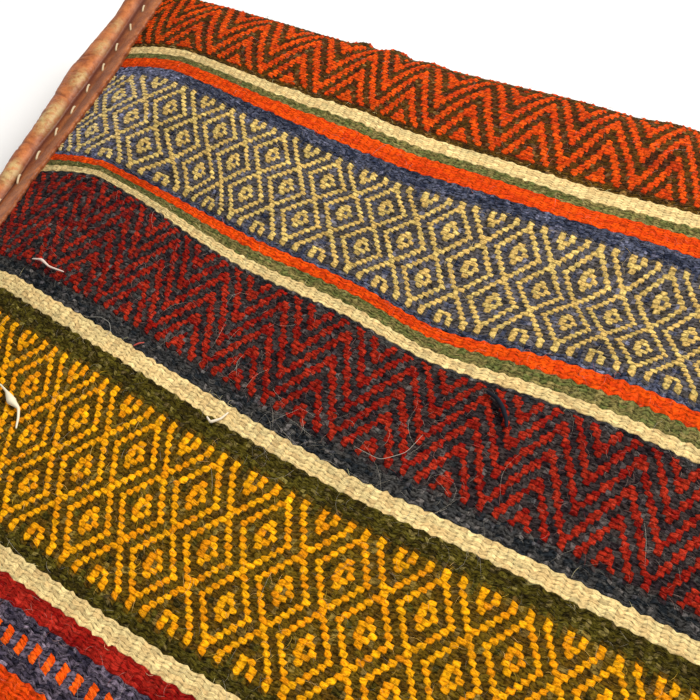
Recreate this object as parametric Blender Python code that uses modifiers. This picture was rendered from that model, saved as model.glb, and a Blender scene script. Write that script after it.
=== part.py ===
"""Woven cargo sack with leather-bound sides, lying on its back, lightly filled.

One long strip of wool flatweave is folded at the bottom and joined at both sides.
Each side seam is bound in leather over a piping cord, the mouth is edged in leather,
and three leather straps button over it on brass studs. Four D-rings hang in leather
tabs at the side seams, where the load is lashed down.

Metres, +Z up. X runs along the stripes, +Y points at the bottom fold, -Y at the mouth.
The origin is on the ground under the middle of the sack.
"""
import bpy
import bmesh
from math import asin, atan2, cos, pi, sin, sqrt
from mathutils import Vector

# The woven sack
sack_length = 0.600          # mouth edge to bottom fold
sack_width = 0.676           # cloth between the two side seams, at the corners
side_draw_in = 0.036         # how far the filling pulls each side seam in at mid-length
seam_height = 0.042          # the side seams above the ground
front_rise = 0.045           # crown of the front above its edges
back_drop = 0.060            # how far the back would sag if the ground were not there
edge_height = 0.012          # blunt height of the cloth at the side seams and the fold
mouth_height = 0.030         # outer height of the slightly open mouth
cloth_thickness = 0.003
flange_thickness = 0.005     # both layers of cloth pressed flat in the side seam
flange_width = 0.009
flange_root = 0.003          # how far the flange reaches into the cloth of the sack
corner_setback = 0.008       # where the side seam stops short of the bottom fold

# Shares that shape the crown, along the sack from the fold (0) to the mouth (1)
fold_full_share = 0.25       # the front reaches its full height here
mouth_fall_share = 0.52      # it starts to fall towards the mouth here
mouth_flat_share = 0.84      # from here to the mouth it lies flat
fold_power = 2.0
across_power = 6.0

# Leather binding with its piping cord
leather_thickness = 0.0016
binding_clearance = 0.0003
roll_radius = 0.0055
wing_setback = 0.0005        # gap between a binding's wing and the swell of the cloth
mouth_binding_depth = 0.014

# Lashing rings in their riveted tabs
ring_spread = 0.170          # between the two rings on one side
tab_width = 0.022
tab_thickness = 0.0020
tab_clearance = 0.0004
ring_wire_radius = 0.0020
ring_gap = 0.0055            # between the roll and the ring's bar
ring_side_clearance = 0.0010
ring_corner_radius = 0.0040
ring_leg_length = 0.0050
rivet_spread = 0.011
rivet_post_radius = 0.0015
rivet_head_radius = 0.0034
rivet_head_height = 0.0012
rivet_clearance = 0.0003
crown_share = 0.65           # flat top of a rivet head, of its radius

# Closing straps, studs and anchors
strap_spread = 0.180         # from the middle strap to each outer one
strap_width = 0.022
strap_thickness = 0.0025
strap_clearance = 0.0004
strap_bend_radius = 0.0026
strap_tip_margin = 0.015     # strap past the stud
stud_reach = 0.052           # stud, past the mouth edge
stud_ball_radius = 0.0041
stud_neck_radius = 0.0023
stud_neck_slack = 0.0008     # neck longer than the strap is thick
stud_flange_height = 0.0010
strap_hole_clearance = 0.0004
strap_slit_length = 0.0075   # the hole is drawn out towards the tip by this much
patch_width = 0.026
patch_thickness = 0.0020
patch_margin = 0.007         # patch past the strap's tip
patch_corner_radius = 0.005
patch_gap = 0.0025           # between the patch and the mouth binding
washer_radius = 0.0075
washer_thickness = 0.0012
anchor_ramp_gap = 0.0010     # level stretch past the mouth binding before the ramp
anchor_ramp_length = 0.0080
anchor_rivet_margin = 0.0070
anchor_rivet_pitch = 0.0130

# Modelling
cut_overrun = 0.010
weld_distance = 0.000002
smooth_angle = 0.7
least_mitre_share = 0.5
arc_steps = 5
roll_steps = 2
bow_steps = 12
corner_steps = 3
round_sides = 10
ball_sides = 16

# Rows of the sack from the fold to the mouth, and columns across it
fold_rows = 8
body_rows = 7
flat_rows = 2
half_columns = 9

parts_name = "cargo_bag"
cutters_name = "cutters"

for old in list(bpy.data.objects):
    bpy.data.objects.remove(old)
collections = {}
for name in (parts_name, cutters_name):
    collections[name] = bpy.data.collections.new(name)
    bpy.context.scene.collection.children.link(collections[name])

# The cord fills the roll, and the flange ends against the cord
cord_radius = roll_radius - leather_thickness - binding_clearance
roll_reach = flange_width + binding_clearance + cord_radius
ring_bar_reach = roll_radius + ring_gap + ring_wire_radius
ring_half_width = tab_width / 2 + ring_side_clearance + ring_corner_radius
rivet_reach = wing_setback + binding_clearance + rivet_head_radius
leaf_top = flange_thickness / 2 + binding_clearance + leather_thickness
rivet_grip = leaf_top + tab_clearance + tab_thickness + rivet_clearance
strap_hole_radius = stud_ball_radius + strap_hole_clearance
strap_tip_reach = stud_reach + strap_tip_margin
anchor_ramp_start = mouth_binding_depth + anchor_ramp_gap
anchor_ramp_end = anchor_ramp_start + anchor_ramp_length
anchor_rivet_reaches = [anchor_ramp_end + anchor_rivet_margin + n * anchor_rivet_pitch for n in (0, 1)]
anchor_length = anchor_rivet_reaches[-1] + anchor_rivet_margin

# Everything is centred: the straps stand out past the mouth by their own thickness
strap_line = leather_thickness + binding_clearance + strap_clearance + strap_thickness / 2
mouth_y = -(sack_length - strap_line - strap_thickness / 2) / 2
fold_y = mouth_y + sack_length


def linear(code):
    """An sRGB hex colour as linear red, green, blue and alpha."""
    parts = [int(code[i:i + 2], 16) / 255 for i in (0, 2, 4)]
    return tuple(p / 12.92 if p <= 0.04045 else ((p + 0.055) / 1.055) ** 2.4 for p in parts) + (1,)


def material(name, code, roughness, metallic=0.0):
    made = bpy.data.materials.new(name)
    made.use_nodes = True
    shader = made.node_tree.nodes["Principled BSDF"]
    shader.inputs["Base Color"].default_value = linear(code)
    shader.inputs["Roughness"].default_value = roughness
    shader.inputs["Metallic"].default_value = metallic
    made.diffuse_color = linear(code)
    return made


finishes = {
    "wool": ("9C4A1E", 0.95, 0.0),
    "leather": ("A85C38", 0.60, 0.0),
    "strap leather": ("8A4527", 0.55, 0.0),
    "cotton": ("D8CBB0", 0.90, 0.0),
    "brass": ("B08A45", 0.35, 1.0),
}


def add(name, mesh, finish=None):
    """An object in the parts, or among the cutters if it has no finish."""
    obj = bpy.data.objects.new(name, mesh)
    if finish:
        mesh.materials.append(material(name, *finishes[finish]))
        collections[parts_name].objects.link(obj)
    else:
        obj.hide_render = True
        obj.display_type = "WIRE"
        collections[cutters_name].objects.link(obj)
    return obj


def finish_mesh(bm, name):
    """A mesh with its faces pointing out, smooth but for its sharp edges."""
    bmesh.ops.recalc_face_normals(bm, faces=bm.faces)
    mesh = bpy.data.meshes.new(name)
    bm.to_mesh(mesh)
    bm.free()
    mesh.shade_smooth()
    mesh.set_sharp_from_angle(angle=smooth_angle)
    return mesh


def boolean(obj, cutter, operation):
    step = obj.modifiers.new(operation.lower(), "BOOLEAN")
    step.operation = operation
    step.object = cutter
    step.solver = "EXACT"


# The shape of the filled sack

def smooth_step(t):
    t = min(max(t, 0.0), 1.0)
    return t * t * (3 - 2 * t)


def along_share(v, mouth_share):
    """Height of the crown along the sack: round at the fold, flat at the mouth."""
    rise = sqrt(1 - (1 - min(max(v, 0.0) / fold_full_share, 1.0)) ** fold_power)
    fall = smooth_step((v - mouth_fall_share) / (mouth_flat_share - mouth_fall_share))
    return rise * (1 - (1 - mouth_share) * fall)


def half_width(v):
    """The side seams are drawn in between the fold and the mouth."""
    t = 2 * min(max(v, 0.0), 1.0) - 1
    return sack_width / 2 - side_draw_in * (1 - t * t)


def across_share(u):
    return sqrt(max(1 - abs(u) ** across_power, 0.0))


def levels(u, v):
    """Heights of the front and of the back of the cloth."""
    lip = (mouth_height - edge_height) / 2
    across = across_share(u)
    front = seam_height + edge_height / 2 + front_rise * across * along_share(v, lip / front_rise)
    back = seam_height - edge_height / 2 - back_drop * across * along_share(v, lip / back_drop)
    return front, max(back, 0.0)


def column_shares():
    """Columns across the sack, closer together near the side seams."""
    steps = range(-half_columns, half_columns + 1)
    return [sin(pi / 2 * i / half_columns) for i in steps]


def row_shares():
    """Rows from the fold to the mouth, closer together at the round fold."""
    rows = [fold_full_share * (1 - cos(pi / 2 * i / fold_rows)) for i in range(fold_rows)]
    step = (mouth_flat_share - fold_full_share) / body_rows
    rows += [fold_full_share + step * i for i in range(body_rows)]
    last = 1 - mouth_binding_depth / sack_length
    rows += [mouth_flat_share + (last - mouth_flat_share) * i / flat_rows for i in range(flat_rows)]
    return rows + [last, 1.0]


def share_to_y(v):
    return fold_y - v * sack_length


def section(v, offset):
    """The closed outline of the sack at one row, moved outward by offset."""
    width = half_width(v)
    shares = column_shares()
    top = [Vector((u * width, levels(u, v)[0])) for u in shares]
    bottom = [Vector((u * width, levels(u, v)[1])) for u in shares]
    loop = top + bottom[::-1]
    moved = []
    for i, point in enumerate(loop):
        before = (point - loop[i - 1]).normalized()
        after = (loop[(i + 1) % len(loop)] - point).normalized()
        normal = Vector((-before.y - after.y, before.x + after.x)).normalized()
        stretch = max(normal.dot(Vector((-after.y, after.x))), least_mitre_share)
        moved.append(point + normal * offset / stretch)
    return moved


def loft_sack(name, offset, rows):
    """A closed solid through the outlines at (y, row share) pairs."""
    bm = bmesh.new()
    rings = []
    for y, v in rows:
        rings.append([bm.verts.new((p.x, y, p.y)) for p in section(v, offset)])
    count = len(rings[0])
    for near, far in zip(rings, rings[1:]):
        for i in range(count):
            j = (i + 1) % count
            bm.faces.new((near[i], near[j], far[j], far[i]))
    for ring in (rings[0], rings[-1]):
        for i in range(count // 2 - 1):
            bm.faces.new((ring[i], ring[i + 1], ring[count - 2 - i], ring[count - 1 - i]))
    return finish_mesh(bm, name)


def seam_stations():
    """Points of the right-hand cloth edge, each with its outward direction."""
    first = corner_setback / sack_length
    last = 1 - (mouth_binding_depth + binding_clearance) / sack_length
    rows = [first] + [v for v in row_shares() if first < v < last] + [last]
    stations = []
    for v in rows:
        slope = edge_slope(v)
        stations.append((Vector((half_width(v), share_to_y(v))), Vector((1, -slope)).normalized()))
    return stations


def edge_slope(v):
    """How much the right-hand cloth edge moves in X for a step in Y."""
    return 4 * side_draw_in * (1 - 2 * v) / sack_length


def edge_place(y):
    """The cloth edge at a distance y from mid-length, and its angle about Z."""
    v = (sack_length / 2 - y) / sack_length
    return Vector((half_width(v), share_to_y(v))), -atan2(edge_slope(v), 1)


def flat_outline(name, outline, thickness, finish=None):
    """A flat outline in XY, extruded evenly about z = 0, as a mesh object."""
    curve = bpy.data.curves.new(name, "CURVE")
    curve.dimensions = "2D"
    curve.fill_mode = "BOTH"
    curve.extrude = thickness / 2
    spline = curve.splines.new("POLY")
    spline.points.add(len(outline) - 1)
    for point, (x, y) in zip(spline.points, outline):
        point.co = (x, y, 0, 1)
    spline.use_cyclic_u = True
    return curve_to_mesh(name, curve, finish)


def curve_to_mesh(name, curve, finish=None):
    """Turns a curve into a welded mesh object, which can be cut or joined."""
    source = bpy.data.objects.new(name + "_curve", curve)
    bpy.context.scene.collection.objects.link(source)
    bpy.context.view_layer.update()
    evaluated = source.evaluated_get(bpy.context.evaluated_depsgraph_get())
    mesh = bpy.data.meshes.new_from_object(evaluated)
    bpy.data.objects.remove(source)
    bm = bmesh.new()
    bm.from_mesh(mesh)
    bmesh.ops.remove_doubles(bm, verts=bm.verts, dist=weld_distance)
    bmesh.ops.recalc_face_normals(bm, faces=bm.faces)
    bm.to_mesh(mesh)
    bm.free()
    mesh.materials.clear()
    return add(name, mesh, finish)


def cylinder_mesh(bm, centre, radius, low, high):
    """A round post from low to high above centre, added to a mesh."""
    made = bmesh.ops.create_cone(bm, cap_ends=True, segments=round_sides, radius1=radius,
                                 radius2=radius, depth=high - low)
    middle = Vector((centre[0], centre[1], (low + high) / 2))
    bmesh.ops.translate(bm, verts=made["verts"], vec=middle)


def arc(centre, radius, start, end, steps):
    """Points along an arc from angle start to angle end, both ends included."""
    return [Vector((centre[0] + radius * cos(start + (end - start) * i / steps),
                    centre[1] + radius * sin(start + (end - start) * i / steps)))
            for i in range(steps + 1)]


def ribbon(name, path, width, thickness, finish, across="Y"):
    """A band of leather along a path in X-Z or, with across X, in Y-Z."""
    bm = bmesh.new()
    rows = []
    for side in (-width / 2, width / 2):
        if across == "Y":
            rows.append([bm.verts.new((p.x, side, p.y)) for p in path])
        else:
            rows.append([bm.verts.new((side, p.x, p.y)) for p in path])
    for i in range(len(path) - 1):
        bm.faces.new((rows[0][i], rows[0][i + 1], rows[1][i + 1], rows[1][i]))
    mesh = bpy.data.meshes.new(name)
    bm.to_mesh(mesh)
    bm.free()
    obj = add(name, mesh, finish)
    shell = obj.modifiers.new("thickness", "SOLIDIFY")
    shell.thickness = thickness
    shell.offset = 0
    shell.use_even_offset = True
    return obj


def turned(name, profile, finish, sides=round_sides):
    """A turned piece from a profile of (radius, height), top to bottom."""
    mesh = bpy.data.meshes.new(name)
    points = [(r, 0, z) for r, z in profile]
    mesh.from_pydata(points, [(i, i + 1) for i in range(len(points) - 1)], [])
    obj = add(name, mesh, finish)
    screw = obj.modifiers.new("turn", "SCREW")
    screw.steps = sides
    screw.render_steps = sides
    screw.use_merge_vertices = True
    screw.merge_threshold = weld_distance
    return obj


# Places of the rings, rivets, straps and studs

ring_sites = []
for side, side_name in ((-1, "left"), (1, "right")):
    for end, end_name in ((1, "fold"), (-1, "mouth")):
        edge, angle = edge_place(end * ring_spread / 2)
        out = Vector((cos(angle), sin(angle)))
        line = Vector((-sin(angle), cos(angle)))
        if side < 0:
            edge = Vector((-edge.x, edge.y))
            out = Vector((-out.x, out.y))
            line = Vector((-line.x, line.y))
            angle = pi - angle
        rivets = [edge + out * rivet_reach + line * step * rivet_spread / 2 for step in (-1, 1)]
        ring_sites.append({"name": side_name + "_" + end_name, "side": side_name, "edge": edge,
                           "out": out, "angle": angle, "rivets": rivets})


def mouth_levels(x):
    """Outer faces of the front and back cloth at the flat mouth, at one x."""
    width = half_width(1.0)
    return levels(x / width, 1.0)


strap_sites = []
for name, x in (("left", -strap_spread), ("middle", 0.0), ("right", strap_spread)):
    fronts = [mouth_levels(x + step * patch_width / 2) for step in (-1, 0, 1)]
    strap_sites.append({"name": name, "x": x, "front": max(f[0] for f in fronts),
                        "back": min(f[1] for f in fronts),
                        "floor": max(f[1] for f in fronts) + cloth_thickness,
                        "lining": min(f[0] for f in fronts) - cloth_thickness})


# Woven body: the cloth with its two seam flanges

all_rows = [(share_to_y(v), v) for v in row_shares()]
body = add("woven_body", loft_sack("woven_body", 0.0, all_rows), "wool")

inner_rows = [(y, v) for y, v in all_rows if y < fold_y - 2 * cloth_thickness]
inner_rows = [(fold_y - cloth_thickness, cloth_thickness / sack_length)] + inner_rows
inner_rows += [(mouth_y - cut_overrun, 1.0)]
inside = add("inside_of_sack", loft_sack("inside_of_sack", -cloth_thickness, inner_rows))
boolean(body, inside, "DIFFERENCE")

stations = seam_stations()
for side, side_name in ((-1, "left"), (1, "right")):
    inner = [p - n * flange_root for p, n in stations]
    outer = [p + n * flange_width for p, n in stations]
    loop = [(side * p.x, p.y) for p in inner + outer[::-1]]
    flange = flat_outline(side_name + "_flange", loop, flange_thickness)
    flange.location.z = seam_height
    boolean(body, flange, "UNION")

holes = bmesh.new()
rivet_hole = rivet_post_radius + rivet_clearance
for site in ring_sites:
    for place in site["rivets"]:
        cylinder_mesh(holes, place, rivet_hole, seam_height - cut_overrun, seam_height + cut_overrun)
for site in strap_sites:
    stud_place = (site["x"], mouth_y + stud_reach)
    cylinder_mesh(holes, stud_place, stud_neck_radius + rivet_clearance,
                  site["front"] - 2 * cloth_thickness, site["front"] + cut_overrun)
    for reach in anchor_rivet_reaches:
        cylinder_mesh(holes, (site["x"], mouth_y + reach), rivet_hole,
                      site["back"] - cut_overrun, site["back"] + 2 * cloth_thickness)
hole_cutter = add("fastener_holes", finish_mesh(holes, "fastener_holes"))
boolean(body, hole_cutter, "DIFFERENCE")


# Side bindings: leather wrapped over the flange and the piping cord

def binding_profile():
    """The leather's section: x outward from the roll's centre, y up."""
    wing_out = leaf_top
    wing_in = wing_out - leather_thickness
    start = wing_setback - roll_reach
    bore = roll_radius - leather_thickness
    top = pi - atan2(wing_out, sqrt(roll_radius ** 2 - wing_out ** 2))
    low = pi - atan2(wing_in, sqrt(bore ** 2 - wing_in ** 2))
    outer = arc((0, 0), roll_radius, top, -top, 2 * arc_steps)
    inner = arc((0, 0), bore, -low, low, 2 * arc_steps)
    return ([Vector((start, wing_out))] + outer + [Vector((start, -wing_out)),
            Vector((start, -wing_in))] + inner + [Vector((start, wing_in))])


def path_curve(name, side, reach):
    """A side seam's line, reach outward from the edge of the cloth."""
    curve = bpy.data.curves.new(name, "CURVE")
    curve.dimensions = "3D"
    curve.twist_mode = "Z_UP"
    curve.use_fill_caps = True
    spline = curve.splines.new("POLY")
    spline.points.add(len(stations) - 1)
    for point, (edge, out) in zip(spline.points, stations):
        place = edge + out * reach
        point.co = (side * place.x, place.y, seam_height, 1)
    return curve


for side, side_name in ((-1, "left"), (1, "right")):
    profile_curve = bpy.data.curves.new(side_name + "_profile", "CURVE")
    profile_curve.dimensions = "2D"
    spline = profile_curve.splines.new("POLY")
    outline = binding_profile()
    spline.points.add(len(outline) - 1)
    for point, place in zip(spline.points, outline):
        point.co = (-side * place.x, place.y, 0, 1)
    spline.use_cyclic_u = True
    profile_object = add(side_name + "_binding_profile", profile_curve)

    curve = path_curve(side_name + "_binding", side, roll_reach)
    curve.bevel_mode = "OBJECT"
    curve.bevel_object = profile_object
    binding = curve_to_mesh(side_name + "_binding", curve, "leather")
    boolean(binding, hole_cutter, "DIFFERENCE")

    curve = path_curve(side_name + "_piping_cord", side, roll_reach)
    curve.bevel_depth = cord_radius
    curve.bevel_resolution = 2
    curve_to_mesh(side_name + "_piping_cord", curve, "cotton")


# Mouth binding: one ring of leather folded over the edge of the cloth

outer_face = binding_clearance + leather_thickness
inner_face = -cloth_thickness - binding_clearance - leather_thickness
last_share = 1 - mouth_binding_depth / sack_length
last_y = share_to_y(last_share)
rim_rows = [(last_y, last_share), (mouth_y, 1.0), (mouth_y - outer_face, 1.0)]
start_rows = [(last_y + cut_overrun, last_share), (last_y, last_share), (mouth_y, 1.0)]
through_rows = start_rows + [(mouth_y - cut_overrun, 1.0)]
groove_rows = start_rows + [(mouth_y - binding_clearance, 1.0)]

mouth_binding = add("mouth_binding", loft_sack("mouth_binding", outer_face, rim_rows), "leather")
rim_bore = add("mouth_bore", loft_sack("mouth_bore", inner_face, through_rows))
groove = add("mouth_groove", loft_sack("mouth_groove", binding_clearance, groove_rows))
groove_core = add("groove_core", loft_sack("groove_core", inner_face + leather_thickness, through_rows))
boolean(groove, groove_core, "DIFFERENCE")
boolean(mouth_binding, rim_bore, "DIFFERENCE")
boolean(mouth_binding, groove, "DIFFERENCE")


# Ring tabs: a leather band round the ring's bar, over and under the bound seam

def tab_path():
    """The middle line of a tab: x outward from the edge of the cloth, y up."""
    roll = Vector((roll_reach, 0.0))
    bar = Vector((roll_reach + ring_bar_reach, 0.0))
    leaf = leaf_top + tab_clearance + tab_thickness / 2
    over_roll = roll_radius + tab_clearance + tab_thickness / 2
    over_bar = ring_wire_radius + tab_clearance + tab_thickness / 2
    lean = pi / 2 - asin((over_roll - over_bar) / ring_bar_reach)
    half = [Vector((rivet_reach - rivet_head_radius, leaf)),
            Vector((rivet_reach + rivet_head_radius, leaf))]
    half += arc(roll, over_roll, pi / 2, lean, roll_steps)
    half += arc(bar, over_bar, lean, 0, arc_steps)
    mirrored = [Vector((p.x, -p.y)) for p in half[:-1]]
    return half + mirrored[::-1]


def ring_outline():
    """The ring's middle line: x along the bar, y from the bar to the bow."""
    corner = ring_corner_radius
    wide = ring_half_width
    points = arc((wide - corner, corner), corner, -pi / 2, 0, corner_steps)
    points += arc((0, ring_leg_length), wide, 0, pi, bow_steps)
    points += arc((corner - wide, corner), corner, pi, 3 * pi / 2, corner_steps)
    return points


def wire_ring(name, centre, angle):
    """A closed D of round wire that hangs from its bar."""
    curve = bpy.data.curves.new(name, "CURVE")
    curve.dimensions = "3D"
    curve.bevel_depth = ring_wire_radius
    curve.bevel_resolution = 2
    points = ring_outline()
    spline = curve.splines.new("POLY")
    spline.points.add(len(points) - 1)
    for point, place in zip(spline.points, points):
        point.co = (0, place.x, -place.y, 1)
    spline.use_cyclic_u = True
    ring = curve_to_mesh(name, curve, "brass")
    ring.data.shade_smooth()
    ring.location = centre
    ring.rotation_euler.z = angle
    return ring


def rivet_profile(half_grip):
    """Two domed heads on one post, the tops half_grip from the middle."""
    crown = half_grip + rivet_head_height
    upper = [(0, crown), (rivet_head_radius * crown_share, crown), (rivet_head_radius, half_grip),
             (rivet_post_radius, half_grip)]
    return upper + [(r, -z) for r, z in upper[::-1]]


for site in ring_sites:
    edge, out, angle = site["edge"], site["out"], site["angle"]
    tab = ribbon(site["name"] + "_tab", tab_path(), tab_width, tab_thickness, "strap leather")
    tab.location = (edge.x, edge.y, seam_height)
    tab.rotation_euler.z = angle
    boolean(tab, hole_cutter, "DIFFERENCE")
    bar = edge + out * (roll_reach + ring_bar_reach)
    wire_ring(site["name"] + "_ring", (bar.x, bar.y, seam_height), angle)
    for number, place in enumerate(site["rivets"], 1):
        rivet = turned(f"{site['name']}_tab_rivet_{number}", rivet_profile(rivet_grip), "brass")
        rivet.location = (place.x, place.y, seam_height)

# Closing straps with their studs, patches and anchors

def strap_path(site):
    """A closed strap: up past the mouth and over the front, from its hinge line."""
    hinge = Vector((mouth_y - strap_line, site["back"] - strap_line))
    bed = site["front"] + binding_clearance + max(outer_face, patch_thickness) + strap_clearance
    over = bed + strap_thickness / 2
    bend = Vector((hinge.x + strap_bend_radius, over - strap_bend_radius))
    rounded = arc(bend, strap_bend_radius, pi, pi / 2, arc_steps)
    return [hinge] + rounded + [Vector((mouth_y + strap_tip_reach, over))]


def slit_cutter(site):
    """The button hole: round, drawn out towards the strap's tip."""
    x, y = site["x"], mouth_y + stud_reach
    near = arc((x, y), strap_hole_radius, pi, 2 * pi, arc_steps)
    far = arc((x, y + strap_slit_length), strap_hole_radius, 0, pi, arc_steps)
    cutter = flat_outline("strap_hole_" + site["name"], near + far, 2 * cut_overrun)
    cutter.location.z = site["front"]
    return cutter


def tip_trim(site):
    """Cuts the strap's square end to a rounded tip."""
    x, tip = site["x"], mouth_y + strap_tip_reach
    half = strap_width / 2
    wide = half + cut_overrun
    curve = arc((x, tip - half), half - binding_clearance, 0, pi, 2 * arc_steps)
    frame = [(x + wide, tip - half), (x + wide, tip + cut_overrun),
             (x - wide, tip + cut_overrun), (x - wide, tip - half)]
    cutter = flat_outline("strap_tip_" + site["name"], frame + curve[::-1], 2 * cut_overrun)
    cutter.location.z = site["front"]
    return cutter


def rounded_rectangle(low, high, radius):
    """Corner arcs of a rectangle between two corner points."""
    loop = []
    for cx, cy, start in ((high[0], high[1], 0), (low[0], high[1], pi / 2),
                          (low[0], low[1], pi), (high[0], low[1], 3 * pi / 2)):
        centre = (cx - radius if cx == high[0] else cx + radius,
                  cy - radius if cy == high[1] else cy + radius)
        loop += arc(centre, radius, start, start + pi / 2, corner_steps)
    return loop


def stud_profile(site):
    """Ball, neck and flange above the patch; post and clenched head below it."""
    seat = site["front"] + binding_clearance + patch_thickness + rivet_clearance
    neck_top = seat + stud_flange_height + strap_thickness + stud_neck_slack
    ball = neck_top + sqrt(stud_ball_radius ** 2 - stud_neck_radius ** 2)
    start = atan2(neck_top - ball, stud_neck_radius)
    profile = [(p.x, p.y) for p in arc((0, ball), stud_ball_radius, pi / 2, start, arc_steps)]
    profile[0] = (0, profile[0][1])
    clench = site["lining"] - 2 * rivet_clearance - washer_thickness
    return profile + [(stud_neck_radius, seat + stud_flange_height),
                      (stud_ball_radius, seat + stud_flange_height), (stud_ball_radius, seat),
                      (stud_neck_radius, seat), (stud_neck_radius, clench),
                      (stud_ball_radius, clench), (stud_ball_radius, clench - rivet_head_height),
                      (0, clench - rivet_head_height)]


for site in strap_sites:
    label, x = site["name"], site["x"]
    strap = ribbon(label + "_strap", strap_path(site), strap_width, strap_thickness,
                   "strap leather", across="X")
    strap.location.x = x
    boolean(strap, slit_cutter(site), "DIFFERENCE")
    boolean(strap, tip_trim(site), "DIFFERENCE")

    low = (x - patch_width / 2, mouth_y + mouth_binding_depth + patch_gap)
    high = (x + patch_width / 2, mouth_y + strap_tip_reach + patch_margin)
    outline = rounded_rectangle(low, high, patch_corner_radius)
    patch = flat_outline(label + "_stud_patch", outline, patch_thickness, "strap leather")
    patch.location.z = site["front"] + binding_clearance + patch_thickness / 2
    boolean(patch, hole_cutter, "DIFFERENCE")

    stud = turned(label + "_stud", stud_profile(site), "brass", sides=ball_sides)
    stud.location = (x, mouth_y + stud_reach, 0)

    washer_top = site["lining"] - rivet_clearance
    bore = stud_neck_radius + rivet_clearance
    ring = [(bore, washer_top), (washer_radius, washer_top),
            (washer_radius, washer_top - washer_thickness), (bore, washer_top - washer_thickness),
            (bore, washer_top)]
    washer = turned(label + "_stud_washer", ring, "brass", sides=ball_sides)
    washer.location = (x, mouth_y + stud_reach, 0)

    seat = site["back"] - binding_clearance - strap_thickness / 2
    start = site["back"] - strap_line
    knuckle = mouth_y - strap_line + strap_thickness / 2 + strap_clearance
    path = [Vector((knuckle, start)), Vector((mouth_y + anchor_ramp_start, start)),
            Vector((mouth_y + anchor_ramp_end, seat)), Vector((mouth_y + anchor_length, seat))]
    anchor = ribbon(label + "_strap_anchor", path, strap_width, strap_thickness,
                    "strap leather", across="X")
    anchor.location.x = x
    boolean(anchor, hole_cutter, "DIFFERENCE")

    top = site["floor"] + rivet_clearance
    bottom = seat - strap_thickness / 2 - rivet_clearance
    for number, reach in enumerate(anchor_rivet_reaches, 1):
        profile = rivet_profile((top - bottom) / 2)
        rivet = turned(f"{label}_anchor_rivet_{number}", profile, "brass")
        rivet.location = (x, mouth_y + reach, (top + bottom) / 2)
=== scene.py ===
"""Cargo bag: a flat-woven wool sack with leather-bound sides, lit and seen as in the photograph."""

import math

import bpy
import numpy as np
from mathutils import Matrix, Vector


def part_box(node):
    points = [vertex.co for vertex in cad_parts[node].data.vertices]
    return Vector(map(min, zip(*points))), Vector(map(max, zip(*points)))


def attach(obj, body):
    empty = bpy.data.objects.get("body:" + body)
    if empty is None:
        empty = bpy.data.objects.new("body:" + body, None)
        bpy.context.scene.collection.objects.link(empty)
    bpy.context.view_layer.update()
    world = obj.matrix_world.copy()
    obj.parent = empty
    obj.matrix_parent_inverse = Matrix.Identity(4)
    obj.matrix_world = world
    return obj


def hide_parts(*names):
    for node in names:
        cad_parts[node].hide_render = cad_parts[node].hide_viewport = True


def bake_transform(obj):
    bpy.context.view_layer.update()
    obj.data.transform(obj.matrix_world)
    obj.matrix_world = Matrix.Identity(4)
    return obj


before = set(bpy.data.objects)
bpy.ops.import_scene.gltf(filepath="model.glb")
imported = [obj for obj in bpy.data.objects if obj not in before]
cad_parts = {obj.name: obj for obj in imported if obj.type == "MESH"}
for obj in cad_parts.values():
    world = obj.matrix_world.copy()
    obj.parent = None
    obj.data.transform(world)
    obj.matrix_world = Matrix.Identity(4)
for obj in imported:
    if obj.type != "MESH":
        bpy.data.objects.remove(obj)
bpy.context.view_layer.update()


# Camera. Fitted to the woven diamonds, the bottom fold and the leather edge at the left;
# it looks down on the fold end of the sack from the right.
camera_turn, camera_rise, camera_roll = (math.radians(a) for a in (29.5, 58.6, -1.57))
look_at = Vector((-0.1186, 0.1142, 0.09))
camera_distance = 0.284
camera_lens = 42.2
toward = Vector((math.sin(camera_turn) * math.cos(camera_rise),
                 -math.cos(camera_turn) * math.cos(camera_rise), math.sin(camera_rise)))
level_right = Vector((0, 0, 1)).cross(toward).normalized()
level_up = toward.cross(level_right)
right = math.cos(camera_roll) * level_right + math.sin(camera_roll) * level_up
up = toward.cross(right)
camera = bpy.data.objects.new("camera", bpy.data.cameras.new("camera"))
camera.data.lens = camera_lens
camera.data.clip_start = 0.01
camera.matrix_world = Matrix.Translation(look_at + toward * camera_distance) @ Matrix(
    (right, up, toward)).transposed().to_4x4()
bpy.context.collection.objects.link(camera)
bpy.context.scene.camera = camera


# Light. A bright, even sky and one broad lamp high behind the fold, a little to the right:
# the beads of the weave are light at the top and shaded at the lower left.
scene = bpy.context.scene
scene.view_settings.view_transform = "Standard"
world = bpy.data.worlds.new("daylight")
scene.world = world
world.use_nodes = True
sky = world.node_tree.nodes["Background"]
sky.inputs["Color"].default_value = (1.0, 0.99, 0.97, 1)
sky.inputs["Strength"].default_value = 0.50
lamp = bpy.data.objects.new("window", bpy.data.lights.new("window", "AREA"))
lamp.data.energy = 46
lamp.data.size = 1.1
lamp.data.color = (1.0, 0.97, 0.92)
lamp_place = Vector((0.75, 1.25, 1.55))
lamp.location = lamp_place
lamp.rotation_mode = "QUATERNION"
lamp.rotation_quaternion = (lamp_place - look_at).to_track_quat("Z", "Y")
bpy.context.collection.objects.link(lamp)


# Table. A plain white surface that keeps the sack's shadow; the camera sees it near white.
def linear(code):
    """Linear colour of a hex code such as #F04A0A."""
    values = [int(code[i:i + 2], 16) / 255 for i in (1, 3, 5)]
    return tuple(v / 12.92 if v <= 0.04045 else ((v + 0.055) / 1.055) ** 2.4 for v in values)


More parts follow.
